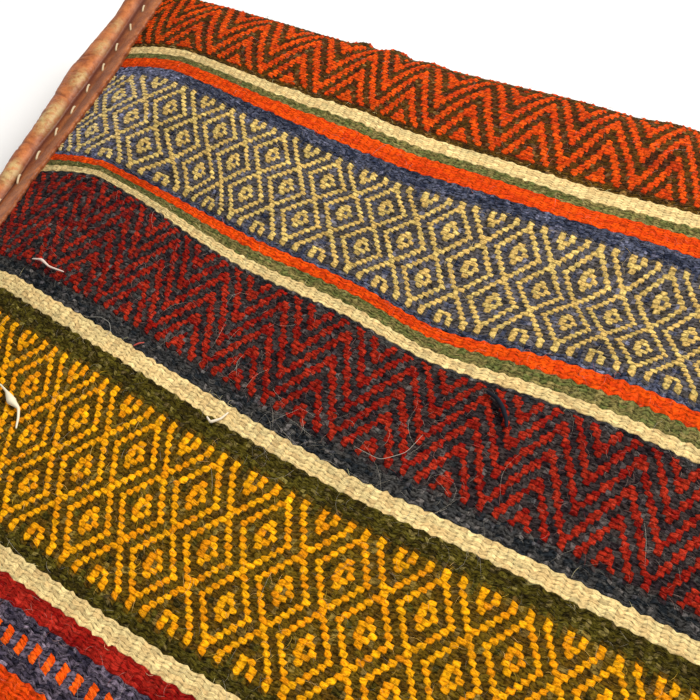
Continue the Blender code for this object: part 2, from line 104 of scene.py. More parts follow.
def add_node(tree, kind, inputs=None, **settings):
    """A shader node with its settings; an input is a value, an output, or a node for its first."""
    made = tree.nodes.new("ShaderNode" + kind)
    for name, value in settings.items():
        setattr(made, name, value)
    for name, value in (inputs or {}).items():
        socket = made.inputs[name]
        if isinstance(value, bpy.types.Node):
            value = value.outputs[0]
        if isinstance(value, bpy.types.NodeSocket):
            tree.links.new(value, socket)
        elif socket.type == "RGBA" and len(value) == 3:
            socket.default_value = (*value, 1)
        else:
            socket.default_value = value
    return made


def new_material(name):
    """An empty node material and its tree."""
    made = bpy.data.materials.new(name)
    made.use_nodes = True
    made.node_tree.nodes.clear()
    return made, made.node_tree


def finish_material(tree, inputs):
    """Closes a material with one shader that has these inputs."""
    shader = add_node(tree, "BsdfPrincipled", inputs)
    add_node(tree, "OutputMaterial", {"Surface": shader})


table_paint, tree = new_material("white_table")
path = add_node(tree, "LightPath")
tone = add_node(tree, "Mix", {0: path.outputs["Is Camera Ray"], 6: (0.8, 0.8, 0.8), 7: (1.0, 1.0, 1.0)},
                data_type="RGBA")
finish_material(tree, {"Base Color": tone.outputs[2], "Roughness": 0.9})
table_half = 6.0
table_mesh = bpy.data.meshes.new("table")
table_mesh.from_pydata([(x * table_half, y * table_half, 0) for x, y in
                        ((-1, -1), (1, -1), (1, 1), (-1, 1))], [], [(0, 1, 2, 3)])
table = bpy.data.objects.new("table", table_mesh)
table_mesh.materials.append(table_paint)
bpy.context.collection.objects.link(table)


# Woven wool. One cloth, folded at the bottom, in bands of beads: each bead is a weft float
# over two warps. Its front is six strips that meet at band borders; they ride on the sack.
fold_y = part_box("woven_body")[1].y
sack_length, cloth_half = 0.600, 0.338
draw_in = 0.036
seam_front, seam_back, seam_middle = 0.048, 0.036, 0.042
front_rise, back_drop, mouth_rise = 0.045, 0.060, 0.009
across_power, fold_power, fold_share = 6.0, 2.0, 0.25
flatten_start, flatten_span = 0.52, 0.32
shoulder_power = 5.0
slump_reach = -0.1                      # the shoulder slumps left of this x
slump_draw, slump_draw_x = 0.78, -0.238         # its pull to the left, and the x where it is that
slump_steps = 14                        # steps in which its drop is found
bow_reach = 0.045                       # how far the bow of the fold reaches into the front


def smooth(t):
    t = np.clip(t, 0, 1)
    return t * t * (3 - 2 * t)


def along(v, mouth_share):
    """Fullness of the sack from the fold (v = 0) to the mouth (v = 1)."""
    full = np.sqrt(1 - (1 - np.minimum(v / fold_share, 1)) ** fold_power)
    return full * (1 - (1 - mouth_share) * smooth((v - flatten_start) / flatten_span))


def half_width(v):
    return cloth_half - draw_in * (1 - (2 * v - 1) ** 2)


def across(u):
    return np.sqrt(np.maximum(1 - np.abs(u) ** across_power, 0))


def crown_level(u, v):
    """The front if it were drum tight: full to its side seams."""
    return seam_front + front_rise * across(u) * along(v, mouth_rise / front_rise)


def front_level(u, v):
    """The front as it lies: it slopes evenly down to its side seams."""
    shoulder = 1 - np.minimum(np.abs(u), 1) ** shoulder_power
    return seam_front + front_rise * shoulder * along(v, mouth_rise / front_rise)


def back_level(u, v):
    return np.maximum(seam_back - back_drop * across(u) * along(v, mouth_rise / back_drop), 0)


# The pattern is counted in columns of one rib, and in rows of one lattice step
rib = 0.0026
row_step = 0.0024
first_rib_x = -0.2382          # x of column 0
first_row_arc = 0.1355         # way from the fold's edge to row 0, along the cloth
steps = np.linspace(0, 1, 4001)
middle_line = np.stack([steps * sack_length, 0.93 * front_rise * along(steps, mouth_rise / front_rise)])
arcs = np.concatenate([[0], np.cumsum(np.hypot(*np.diff(middle_line, axis=1)))])
fold_row = -first_row_arc / row_step
mouth_row = (arcs[-1] - first_row_arc) / row_step


def bell(x, centre, width):
    return np.exp(-((x - centre) / width) ** 2)


def unit(vectors):
    """These vectors at length one."""
    return vectors / np.maximum(np.linalg.norm(vectors, axis=-1, keepdims=True), 1e-12)


# The handmade bands aren't straight. Each soft pull has its size, in columns or rows, then
# the column it is centred on and its reach, then the row and its reach.
column_pulls = ((2.3, 8, 8, 14, 9), (0.8, 9, 9, 34, 12), (1.0, 10, 9, 58, 9), (0.8, 76, 14, -12, 9),
                (-0.6, 30, 6, 16, 8), (-0.7, 50, 22, 58, 9), (1.0, 28, 14, -27, 7),
                (-0.9, 68, 14, -30, 6), (-0.9, 40, 9, -26, 9), (0.9, 67, 8, -24, 7))
row_pulls = ((-2.8, -4, 18, -8, 13), (1.7, 66, 17, -13, 9), (3.4, 74, 14, 2, 7), (0.9, 44, 11, 6, 8),
             (-1.4, 82, 12, 16, 4), (-1.1, 4, 16, 24, 5), (-0.9, 12, 12, 33, 9), (0.8, 68, 16, 23, 5),
             (1.3, 42, 26, 58, 12), (0.9, 46, 14, 33, 6), (0.6, 57, 12, 44, 4), (0.8, 16, 9, 62, 8),
             (1.2, 86, 8, -8, 7), (-0.8, 78, 10, 24, 3), (-1.6, -4, 15, 24, 4.5), (1.9, 40, 16, -4, 8),
             (2.5, 55, 9, 12, 14), (-0.9, 28, 5, -17, 5))


def pulled(pulls, c, r):
    return sum(size * bell(c, at_c, reach_c) * bell(r, at_r, reach_r)
               for size, at_c, reach_c, at_r, reach_r in pulls)


def weave_shift(c, r):
    """How far, in columns and rows, the uneven cloth carries a bead from its true place."""
    # columns are drawn in at the left side, and lean in the fold's zigzags
    left_pull = -2.375 - 5.25 * np.tanh((16 - r) / 30)
    columns = left_pull * np.exp(-np.maximum(c + 10, 0) / 22) - 0.07 * np.maximum(-r, 0)
    columns += -2.4 * np.clip((55 - c) / 20, -1, 1) * smooth((-12 - r) / 20)
    # rows droop at the left side and climb to the right; the first ones are crowded at the fold
    left_droop = (2.7 + 2.8 * bell(r, 28, 26)) * (1 - smooth((r - 55) / 25))
    rows = -left_droop * np.exp(-np.maximum(c + 4, 0) / (10 + 0.2 * np.maximum(r + 17, 0)))
    rows += -0.115 * np.clip(c - 42, 0, 60) * (1 - smooth((r + 20) / 55))
    rows += 1.2 * smooth((r - 30) / 15) * smooth((c - 15) / 35) - 5.0 * smooth((-20 - r) / 20)
    columns += pulled(column_pulls, c, r)
    rows += pulled(row_pulls, c, r)
    fade = smooth((190 - r) / 40) * smooth((r - fold_row) / 6)
    return columns * fade, rows * fade


def fold_bow(x, v):
    """The fold's line isn't straight: it is pulled in at the left and bows out to the right, with
    small lumps at the left; the bow dies away into the front and the back."""
    bow = -0.0082 + 0.0165 * smooth((x + 0.225) / 0.195) * (1 - smooth((x - 0.16) / 0.14))
    bow += 0.0046 * smooth((x + 0.072) / 0.022) * (1 - smooth((x + 0.01) / 0.06))
    for lump_x, size, reach in ((-0.098, 0.0018, 0.030), (-0.205, 0.0046, 0.0042),
                                (-0.188, 0.0052, 0.0060), (-0.168, 0.0022, 0.0060)):
        bow = bow + size * bell(x, lump_x, reach)
    return bow * np.exp(-v * sack_length / bow_reach)


def place(c, r):
    """Point of the front of the sack under column c and row r."""
    shift_c, shift_r = weave_shift(c, r)
    v = np.interp(first_row_arc + row_step * (r + shift_r), arcs, steps)
    edge = half_width(v)
    x = np.clip(first_rib_x + rib * (c + shift_c), -edge, edge)
    y = fold_y - sack_length * v
    tight = crown_level(x / edge, v)
    # the cloth is drawn out to the left where the filling has slumped from the shoulder
    draw_x = (x < slump_reach) * (slump_draw + 2.2 * (slump_draw_x - x))
    draw_y = (x < slump_reach) * np.clip(0.70 + 3.1 * (y - 0.2), 0, 1)
    slump = 0 * tight
    for _ in range(slump_steps):
        slump = tight - front_level(np.clip((x - draw_x * slump) / edge, -1, 1),
                                    np.clip(v - draw_y * slump / sack_length, 0, 1))
    x = np.clip(x - draw_x * slump, -edge, edge)
    y = np.minimum(y + draw_y * slump, fold_y) + fold_bow(x, v)
    # a soft hump and a hollow of the filling
    hump = 0.0016 * bell(x, -0.10, 0.05) * bell(y, 0.19, 0.03)
    hollow = 0.0022 * bell(x, -0.17, 0.03) * bell(y, 0.12, 0.04)
    z = tight - slump + hump - hollow
    return np.stack([x, y, z], axis=-1)


# Bands, in rows. The second half of the panel mirrors the first about its middle. Each yarn
# has its colour, the tint that some beads lean to, how far they lean, how much they vary and
# how heathered the yarn is.
mirror_row = 88.0
fold_mirror_row = -41.0
cream, green, orange, blue, straw, ink, red, olive, gold, umber, wine, slate, flame, rust = range(14)
yarn_dyes = (("#E0C88C", "#D4B278", 0.40, 0.07, 0.30), ("#565A2E", "#74683C", 0.50, 0.08, 0.8),
             ("#C83A02", "#DE4C08", 0.50, 0.08, 0.45), ("#232839", "#454858", 0.50, 0.10, 1.0),
             ("#CCB066", "#C4A25C", 0.60, 0.08, 0.6), ("#1A1E22", "#3A3836", 0.45, 0.08, 1.0),
             ("#7A120A", "#942614", 0.50, 0.12, 0.7), ("#2E2606", "#484012", 0.50, 0.08, 0.9),
             ("#EBA20C", "#DC8608", 0.45, 0.08, 0.5), ("#362406", "#4E360C", 0.60, 0.10, 0.9),
             ("#780C08", "#A0261A", 0.40, 0.10, 0.5), ("#2A2633", "#544A56", 0.50, 0.12, 1.0),
             ("#DC4806", "#EC6018", 0.40, 0.08, 0.45), ("#BA3804", "#D04C0C", 0.50, 0.10, 0.6))
palette = np.array([linear(dye[0]) for dye in yarn_dyes])
leaning = np.array([linear(dye[1]) for dye in yarn_dyes])
lean, spread, heather = np.array([dye[2:] for dye in yarn_dyes]).T
plain_bands = ((-41, -17.3, umber), (-17.3, -14.3, cream), (-14.3, -12.3, green), (-12.3, -9, orange),
               (-9, 17.4, blue), (17.4, 19, orange), (19, 21.0, green), (21.0, 22.9, cream),
               (22.9, 43.2, ink), (43.2, 45.9, cream), (45.9, 73.2, olive), (73.2, 75.9, cream),
               (75.9, 78.3, wine), (78.3, 83.9, slate), (83.9, 92, orange))
rust_rows, red_rows, flame_rows = (-39.3, -18.9), (23.6, 40.6), (80, 82.1)
diamond_rows = blue_rows, gold_rows = (-6.0, 16.2), (48.75, 71.25)
fold_end = -19.0               # row where the fold's zigzags end
diamond_pairs, first_pair = 27, 7       # pairs of picks, each one step of the diamonds
donut_beads = {-2: (-1, 0), -1: (-2, 1), 0: (-2, 2), 1: (-2, 1), 2: (-1, 0)}


def diamonds(warp, j):
    """True on nested diamonds and the donuts in them; warps from column 0, pairs from row 0."""
    half, last = 6, 3
    j = np.clip(j, -half, last * half)
    shown = np.zeros(np.broadcast(warp, j).shape, bool)
    for number in range(-1, last + 1):
        away = j - half * number
        offset = (warp - 10 * (number % 2) + 10) % 20 - 10
        side = half - np.abs(away)
        shown |= (np.abs(np.abs(offset + 0.5) - side) < 0.6) & (side >= 0)
        for step, (first, final) in donut_beads.items():
            if number < last or abs(step) < 2:
                shown |= (away == step) & (offset >= first) & (offset <= final)
        shown &= ~((away == 0) & (offset == 0))
    return shown


def zigzag(c, r, start, slope, spacing):
    """True on nested zigzags whose peaks stand on columns 5, 15, 25 and so on."""
    leg = np.abs((c % 10) - 5)
    away = (r - start - slope * leg) / spacing
    away = np.abs(away - np.round(away)) * spacing
    return away < 0.58 * slope


def colours_at(c, r):
    """Number of the yarn that shows at column c and row r."""
    m = np.where(r < fold_mirror_row, 2 * fold_mirror_row - r, r)
    m = np.where(m > mirror_row, 2 * mirror_row - m, m)
    shade = np.full(c.shape, umber)
    for low, high, colour in plain_bands:
        shade[(m >= low) & (m < high)] = colour
    for (low, high), figure, colour in (
            (rust_rows, zigzag(c, m, start=-34.9, slope=2.95, spacing=6.6), rust),
            (red_rows, zigzag(c, m, start=25.6, slope=2.0, spacing=4.2), red),
            (flame_rows, (c + 0.5) % 2 < 1, flame)):
        shade[(m > low) & (m < high) & figure] = colour
    warp = np.floor(2 * c)
    for (low, high), colour in zip(diamond_rows, (straw, gold)):
        j = np.floor((m - low) / (high - low) * diamond_pairs) - first_pair
        shade[(m > low) & (m < high) & diamonds(warp, j)] = colour
    return shade


wool, tree = new_material("woven_wool")
yarn = add_node(tree, "Attribute", attribute_name="yarn")
bead_map = add_node(tree, "UVMap", uv_map="bead")
squares = add_node(tree, "VectorMath", {0: bead_map, 1: bead_map}, operation="DOT_PRODUCT")
dome = add_node(tree, "MapRange", {"Value": squares.outputs["Value"], "From Min": 0.3, "From Max": 1.95,
                                   "To Min": 1.0, "To Max": 0.0}, interpolation_type="SMOOTHSTEP")
weave_map = add_node(tree, "UVMap", uv_map="weave")          # in millimetres
along_fibres = add_node(tree, "Mapping", {"Vector": weave_map, "Rotation": (0, 0, 0.6), "Scale": (0.6,
                                                                                                  1.3,
                                                                                                  1)})
fibres = add_node(tree, "TexNoise", {"Vector": along_fibres, "Scale": 1.0, "Detail": 2.5,
                                     "Roughness": 0.75})
stray = add_node(tree, "Mapping", {"Vector": weave_map, "Rotation": (0, 0, -0.9), "Scale": (0.45, 1.6,
                                                                                            1)})
strays = add_node(tree, "TexNoise", {"Vector": stray, "Scale": 1.0, "Detail": 3.0, "Roughness": 0.8})
# the bead's shape scales the yarn's colour from 0.26 at its edges and corners to 1.08 on its crest:
# painted shade in the gaps between beads and a little painted light on the crests
shade = add_node(tree, "MapRange", {"Value": dome, "To Min": 0.26, "To Max": 1.08})
wave = add_node(tree, "MapRange", {"Value": fibres.outputs["Fac"], "From Min": 0.40, "From Max": 0.62,
                                   "To Min": -0.80, "To Max": 0.95})
grain = add_node(tree, "Math", {0: wave, 1: yarn.outputs["Alpha"], 2: 1.0}, operation="MULTIPLY_ADD")
depth = add_node(tree, "Math", {0: shade, 1: grain}, operation="MULTIPLY")
shaded_yarn = add_node(tree, "VectorMath", {0: yarn.outputs["Color"], "Scale": depth}, operation="SCALE")
light_hair = add_node(tree, "MapRange", {"Value": strays.outputs["Fac"], "From Min": 0.56,
                                         "From Max": 0.64, "To Min": 0.0, "To Max": 0.7})
hair_share = add_node(tree, "Math", {0: light_hair, 1: yarn.outputs["Alpha"]}, operation="MULTIPLY")
hair_tone = add_node(tree, "VectorMath", {0: yarn.outputs["Color"], 1: (2.4, 2.4, 2.4), 2: (0.05, 0.045,
                                                                                            0.035)},
                     operation="MULTIPLY_ADD")
hairy = add_node(tree, "Mix", {0: hair_share, 6: shaded_yarn, 7: hair_tone}, data_type="RGBA")
relief = add_node(tree, "Math", {0: fibres.outputs["Fac"], 1: 0.5, 2: dome}, operation="MULTIPLY_ADD")
bump = add_node(tree, "Bump", {"Height": relief, "Strength": 0.8, "Distance": 0.0005})
finish_material(tree, {"Base Color": hairy.outputs[2], "Roughness": 0.9, "Normal": bump,
                       "Specular IOR Level": 0.05})


def quads_of(rows, columns, wrap=False):
    """Vertex numbers of the quads of a grid of points."""
    index = np.arange(rows * columns).reshape(rows, columns)
    if wrap:
        index = np.concatenate([index, index[:, :1]], axis=1)
    return np.stack([index[:-1, :-1], index[1:, :-1], index[1:, 1:], index[:-1, 1:]], axis=-1)


def mesh_of(name, vertices, *face_sets):
    """A smooth mesh; each array of faces holds faces of one size."""
    made = bpy.data.meshes.new(name)
    made.vertices.add(len(vertices))
    made.vertices.foreach_set("co", np.ravel(vertices))
    corners = np.concatenate([np.ravel(faces) for faces in face_sets])
    sizes = np.concatenate([np.full(len(faces), len(faces[0])) for faces in face_sets])
    made.loops.add(len(corners))
    made.loops.foreach_set("vertex_index", corners)
    made.polygons.add(len(sizes))
    made.polygons.foreach_set("loop_start", np.cumsum(sizes) - sizes)
    made.update(calc_edges=True)
    made.shade_smooth()
    return made


def add_piece(name, made, paint, body, replaced=()):
    """An object of this mesh and material, with what it replaces and its body."""
    made.materials.append(paint)
    piece = bpy.data.objects.new(name, made)
    bpy.context.collection.objects.link(piece)
    if replaced:
        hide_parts(*replaced)
    if body:
        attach(piece, body)
    return piece


def cloth_object(name, points, keep, colours, heathered, beads, weave):
    """A piece of cloth with a colour on each face, its place in its bead and in the weave."""
    quads = quads_of(*points.shape[:2])[keep]
    used, quads = np.unique(quads, return_inverse=True)
    quads = quads.reshape(-1, 4)
    made = mesh_of(name, points.reshape(-1, 3)[used], quads)
    yarns = made.attributes.new("yarn", "FLOAT_COLOR", "CORNER")
    tones = np.ones((quads.size, 4), dtype=np.float32)
    tones[:, :3] = np.repeat(colours[keep], 4, axis=0)
    tones[:, 3] = np.repeat(heathered[keep], 4)
    yarns.data.foreach_set("color", tones.ravel())
    for layer, at in (("bead", beads[keep]), ("weave", weave.reshape(-1, 2)[used][quads.ravel()])):
        made.uv_layers.new(name=layer).data.foreach_set("uv", at.astype(np.float32).ravel())
    return add_piece(name, made, wool, "sack", ["woven_body"])


# Picks: their height changes from band to band
rng = np.random.default_rng(7)
diamond_pick, plain_pick, zigzag_pick, fold_pick = 5 / 6, 0.5, 0.7, 0.74
zones = ((fold_row, fold_mirror_row, fold_pick), (fold_mirror_row, fold_end, fold_pick),
         (fold_end, blue_rows[0], plain_pick), (*blue_rows, diamond_pick),
         (blue_rows[1], red_rows[0], plain_pick), (*red_rows, zigzag_pick),
         (red_rows[1], gold_rows[0], plain_pick), (*gold_rows, diamond_pick),
         (gold_rows[1], mirror_row, plain_pick))
edges = [np.array([fold_row])]
for low, high, pick in zones:
    edges.append(np.linspace(low, high, round((high - low) / pick) + 1)[1:])
edges = np.concatenate(edges)
edges = np.concatenate([edges, 2 * mirror_row - edges[-2::-1]])
edges = edges[edges < mouth_row]
edges[-1] = mouth_row
mids = (edges[1:] + edges[:-1]) / 2
first_column, last_column = -44, 224
warps = np.arange(2 * first_column, 2 * last_column)       # two warps to a rib
cell_c, cell_r = np.meshgrid((warps + 0.5) / 2, mids)
shown = colours_at(cell_c, cell_r)
motif = np.isin(shown, (straw, gold, red, rust))

# floats: a run of one colour along a pick is cut into beads of two warps
order = np.arange(len(warps))
change = np.zeros(shown.shape, bool)
change[:, 1:] = shown[:, 1:] != shown[:, :-1]
run_start = np.maximum.accumulate(np.where(change, order, 0), axis=1)
starts = (order - run_start) % 2 == 0
single = starts.copy()
single[:, :-1] &= starts[:, 1:]

# each bead is its own tint; the yarn's dye also drifts along the pick
beads_apart, drift_warps = 1000, 12
bead = np.cumsum(starts, axis=1) + np.arange(len(mids))[:, None] * beads_apart
tint = rng.normal(1, 0.10, bead.max() + 1)[bead]
knots = rng.normal(0, 1, (len(mids) + 2, len(warps) // drift_warps + 2))
drift = np.repeat((knots[:-2] + knots[1:-1] + knots[2:]) / 3, drift_warps, axis=1)
drift = drift[:, :len(warps)]
leans = np.clip(0.5 + rng.normal(0, 0.45, bead.max() + 1)[bead] + 0.2 * drift, 0, 1) * 2 * lean[shown]
leans = np.clip(leans, 0, 1)[..., None]
yarn_colour = palette[shown] * (1 - leans) + leaning[shown] * leans
yarn_colour = yarn_colour * (tint * (1 + spread[shown] * drift))[..., None]
# where the cloth is rubbed at the left, the blue band is pale and fuzzy; the red one is jumbled
blue_low, blue_high = next(band[:2] for band in plain_bands if band[2] == blue)
rubbed_left = (1 - smooth((cell_c + 12) / 15)) * ((cell_r > blue_low) & (cell_r < blue_high))
rubbed_tone = np.where((shown == straw)[..., None], linear("#E0CA96"), linear("#7C7E9C"))
rubbed_share = 0.75 * rubbed_left * rng.uniform(0, 1, rubbed_left.shape)
yarn_colour += rubbed_share[..., None] * (rubbed_tone - yarn_colour)
jumble = 1 - smooth((cell_c - 2) / 26)
darkened = (rng.random(shown.shape) < 0.34 * jumble) & (shown == red)
yarn_colour[darkened] = 0.5 * yarn_colour[darkened] + 0.5 * palette[ink]
reddened = (rng.random(shown.shape) < 0.10 * jumble) & (shown == ink)
yarn_colour[reddened & (cell_r < red_rows[1])] = 0.8 * palette[red]
# heathered yarns carry single light or reddish flecks
fleck = (rng.random(shown.shape) < 0.09) & np.isin(shown, (blue, ink, olive, umber, slate))
fleck_tone = yarn_colour * 1.9 + np.array([0.025, 0.018, 0.016])
yarn_colour = np.where(fleck[..., None], fleck_tone, yarn_colour)
beside = np.zeros(shown.shape, bool)
beside[:, 1:] |= motif[:, :-1]
beside[:, :-1] |= motif[:, 1:]
beside[1:] |= motif[:-1]
beside[:-1] |= motif[1:]
# ground beads beside the motif lie in its shade and catch the fuzz of its yarn
for ground, figure, share in ((blue, straw, 0.06), (ink, red, 0.04), (olive, gold, 0.065),
                              (umber, rust, 0.045)):
    near = beside & ~motif & (shown == ground)
    yarn_colour[near] = 0.70 * yarn_colour[near] + share * palette[figure]
yarn_colour = np.clip(yarn_colour, 0.003, 1)

# vertices: a row on each pick's edge and one on its crest; in plain bands alternate ribs
# stand a little higher or lower, which makes the scallops of the band borders
rows_fine = np.empty(2 * len(mids) + 1)
rows_fine[0::2], rows_fine[1::2] = edges, mids
columns_fine = np.arange(2 * first_column, 2 * last_column + 1) / 2
grid_c, grid_r = np.meshgrid(columns_fine, rows_fine)
crest = np.zeros((len(mids), len(columns_fine)))
crest[:, :-1] = ~starts
bead_rise, narrowest = 0.00045, 0.0001
lift = np.zeros(grid_c.shape)
lift[1::2] = 0.35 + 0.65 * crest
lift[2:-1:2] = 0.18 * np.minimum(crest[1:], crest[:-1])
in_motif = np.zeros(crest.shape, bool)
in_motif[:, :-1] = motif
in_motif[:, 1:] |= motif
chained = in_motif[1:] & in_motif[:-1]
lift[2:-1:2] = np.where(chained, 0.5, lift[2:-1:2])
raised = np.zeros(grid_c.shape)
raised[1::2, :-1] = motif
raised[2:-1:2] = chained
bead_height = bead_rise * (1 + raised)
scallop = np.round(np.cos(np.pi * (columns_fine - 0.5))) * (columns_fine % 1 > 0.25)
rib_wave = rng.uniform(0.06, 0.2, len(columns_fine)) * scallop
patterned = np.zeros(len(rows_fine))
for low, high in (*diamond_rows, red_rows, (fold_mirror_row, fold_end)):
    for a, b in ((low, high), (2 * mirror_row - high, 2 * mirror_row - low)):
        patterned[(rows_fine > a + 0.1) & (rows_fine < b - 0.1)] = 1
patterned[rows_fine < fold_end] = 1
jitter_c = rng.normal(0, 0.05, grid_c.shape)
pattern = np.pad(np.repeat(motif, 2, axis=0), 1).astype(float)
north_west, north_east = pattern[:-1, :-1], pattern[:-1, 1:]
south_west, south_east = pattern[1:, :-1], pattern[1:, 1:]
rounding = np.where(north_west + north_east + south_west + south_east == 1, 2.4, 1.0)
tuck_c = 0.022 * rounding * (north_east + south_east - north_west - south_west)
tuck_r = 0.04 * rounding * (south_west + south_east - north_west - north_east)
jitter_c += tuck_c
jitter_r = rng.normal(0, 0.05, grid_c.shape) + rib_wave * (1 - patterned)[:, None] + tuck_r
jitter_r[0] = jitter_r[-1] = 0
points = place(grid_c + jitter_c, grid_r + jitter_r)
side_c = np.gradient(points, axis=1)
side_r = np.gradient(points, axis=0)
normal = unit(np.cross(side_r, side_c))
points = points + normal * (lift * bead_height * rng.normal(1, 0.12, lift.shape))[..., None]
x_left, x_right = points[..., 0][:, :-1], points[..., 0][:, 1:]
inside = (x_right - x_left) > narrowest
inside = inside[:-1] & inside[1:]
face_colour = np.repeat(yarn_colour, 2, axis=0)
bead_left = np.repeat(np.where(starts, -1.0, 0.0), 2, axis=0)
bead_right = np.repeat(np.where(starts & ~single, 0.0, 1.0), 2, axis=0)
bead_low = np.where(np.arange(2 * len(mids)) % 2, 0.0, -1.0)[:, None] + 0 * bead_left
# plain beads get softer bead maps: gentler bumps and less painted shade in their gaps
softness = np.repeat(np.where(motif, 0.97, 0.84), 2, axis=0)[..., None, None]
bead_uv = softness * np.stack([np.stack([bead_left, bead_left, bead_right, bead_right], axis=-1),
                               np.stack([bead_low, bead_low + 1, bead_low + 1, bead_low], axis=-1)],
                              axis=-1)
face_heather = np.repeat(heather[shown], 2, axis=0)
weave_mm = np.stack([grid_c * rib, grid_r * row_step], axis=-1) * 1000
strip_rows = (-9, 22.9, 73.2, 2 * mirror_row - 73.2, 2 * mirror_row - 22.9)     # band borders
cuts = [0, *(2 * int(np.searchsorted(edges, row)) for row in strip_rows), 2 * len(mids)]
for number, (low, high) in enumerate(zip(cuts[:-1], cuts[1:]), 1):
    part = slice(low, high + 1)
    cloth_object(f"front_weave_{number}", points[part], inside[low:high], face_colour[low:high],
                 face_heather[low:high], bead_uv[low:high], weave_mm[part])


# Loose fibres. Handspun wool sheds: short curled fibres stand off the beads everywhere, and
# long pale hairs lie over them. Each is a thin tapered tube.
def off_cloth(c, r, path):
    """Unit normals of the front at the points of a path that runs over columns c and rows r."""
    return unit(np.cross(place(c, r + 0.5) - path, place(c + 0.5, r) - path))


def colour_points(made, name, colours):
    """Writes a colour on each point of a mesh."""
    rgba = np.ones((len(made.vertices), 4), dtype=np.float32)
    rgba[:, :3] = colours
    made.attributes.new(name, "FLOAT_COLOR", "POINT").data.foreach_set("color", rgba.ravel())


def fibre_mesh(name, c, r, length, height, radius, tones):
    """One mesh of curved fibres rooted at columns c and rows r; lengths in metres."""
    count, stations, sides = len(c), 5, 3
    t = np.linspace(0, 1, stations)
    heading = rng.uniform(0, 2 * np.pi, count)[:, None] + rng.normal(0, 1.1, count)[:, None] * t
    step = (length / (stations - 1))[:, None]
    c = c[:, None] + np.cumsum(np.cos(heading) * step, axis=1) / rib
    r = r[:, None] + np.cumsum(np.sin(heading) * step, axis=1) / row_step
    r = np.clip(r, fold_row, mouth_row - 8)
    path = place(c, r)
    over = off_cloth(c, r, path)
    rise = bead_crest + height[:, None] * np.sin(np.pi * (0.15 + 0.8 * t)) ** 2
    path = path + over * rise[..., None]
    aside = unit(np.cross(np.gradient(path, axis=1), over))
    turns = np.arange(sides) * 2 * np.pi / sides
    ring = aside[:, :, None] * np.cos(turns)[:, None] + over[:, :, None] * np.sin(turns)[:, None]
    thick = radius[:, None] * np.array([0.7, 1.0, 1.0, 0.8, 0.3])
    tubes = path[:, :, None] + ring * thick[..., None, None]
    base = (np.arange(count) * stations * sides)[:, None, None]
    quads = (quads_of(stations, sides, True).reshape(-1, 4) + base).reshape(-1, 4)
    root = np.arange(sides)[None] + base[:, 0]
    tip = np.arange(stations * sides - 1, (stations - 1) * sides - 1, -1)[None] + base[:, 0]
    made = mesh_of(name, tubes.reshape(-1, 3), quads, np.concatenate([root, tip]))
    colour_points(made, "yarn", np.repeat(tones, stations * sides, axis=0))
    add_piece(name, made, wool_fibre, "sack")


bead_crest = 0.0008
wool_fibre, tree = new_material("wool_fibre")
dye = add_node(tree, "Attribute", attribute_name="yarn")
finish_material(tree, {"Base Color": dye.outputs["Color"], "Roughness": 0.8, "Specular IOR Level": 0.1})
pale_hair = np.array(linear("#CFC6B4"))
seen_end, mouth_end = 90, mouth_row - 8
for number, (low, high, count) in enumerate(((fold_row, seen_end, 7500),
                                             (seen_end, mouth_end, 2500)), 1):
    root_c = rng.uniform(-8, 190, count)
    root_r = rng.uniform(low, high, count)
    yarns = colours_at(root_c, root_r)
    pale = rng.uniform(0.0, 0.5, count)[:, None]
    tones = np.clip((palette[yarns] * 1.5 + 0.02) * (1 - pale) + pale_hair * pale, 0, 0.9)
    fibre_mesh(f"loose_fibres_{number}", root_c, root_r, rng.uniform(0.0015, 0.0045, count),
               rng.uniform(0.0002, 0.0010, count), rng.uniform(0.00003, 0.00005, count), tones)
spread_hairs, tuft_hairs = 330, 55
long_count = spread_hairs + tuft_hairs
root_c = np.concatenate([rng.uniform(-5, 180, spread_hairs), rng.normal(54, 12, tuft_hairs)])
root_r = np.concatenate([rng.uniform(fold_row, 200, spread_hairs), rng.normal(42, 2.5, tuft_hairs)])
fibre_mesh("long_hairs", root_c, root_r, rng.uniform(0.005, 0.014, long_count),
           rng.uniform(0.0004, 0.0022, long_count), rng.uniform(0.000025, 0.000045, long_count),
           pale_hair * rng.uniform(0.45, 1.0, long_count)[:, None])


# Back and lining. The same cloth goes round the fold and lies flat under the sack; inside,
# its plain reverse can be seen at the mouth. Coarser beads, one face to a bead.
fold_bulge = 0.003
fold_turn = 0.0195             # way of the cloth round the fold
lining_start = 0.010
cloth_thickness = 0.003
table_gap = 0.0004
coarse_pick = 0.75
columns_coarse = np.arange(first_column, last_column + 1, dtype=float)[::-1]


def panel(name, row_values, surface, flip=False):
    """A coarse sheet of the cloth over all columns and these rows of its surface."""
    ordered = columns_coarse[::-1] if flip else columns_coarse
    c, r = np.meshgrid(ordered, row_values)
    sheet = surface(c, r)
    centre_c = (c[1:, 1:] + c[:-1, :-1]) / 2
    centre_r = (r[1:, 1:] + r[:-1, :-1]) / 2
    yarns = colours_at(centre_c, centre_r)
    colour = palette[yarns] * rng.normal(1, 0.13, centre_c.shape)[..., None]
    wide = np.abs(np.diff(sheet[..., 0], axis=1)) > narrowest
    beads = np.broadcast_to(np.array([(-1, -1), (-1, 1), (1, 1), (1, -1)]), (*centre_c.shape, 4, 2))
    cloth_object(name, sheet, wide[1:] & wide[:-1], np.clip(colour, 0.003, 1), heather[yarns], beads,
                 np.stack([c * rib, r * row_step], axis=-1) * 1000)


def back_surface(c, r):
    way = (fold_row - r) * row_step
    turn = np.clip(way / fold_turn, 0, 1)
    v = np.clip((way - fold_turn) / sack_length, 0, 1) * (1 + 0 * c)
    edge = half_width(v)
    x = np.clip(first_rib_x + rib * c, -edge, edge)
    z = np.maximum(back_level(x / edge, v), table_gap)
    rounded = seam_middle + (seam_front - seam_middle) * np.cos(turn * np.pi)
    y = fold_y - sack_length * v + fold_bow(x, v) + fold_bulge * np.sin(turn * np.pi)
    return np.stack([x, y, np.where(turn < 1, rounded, z)], axis=-1)


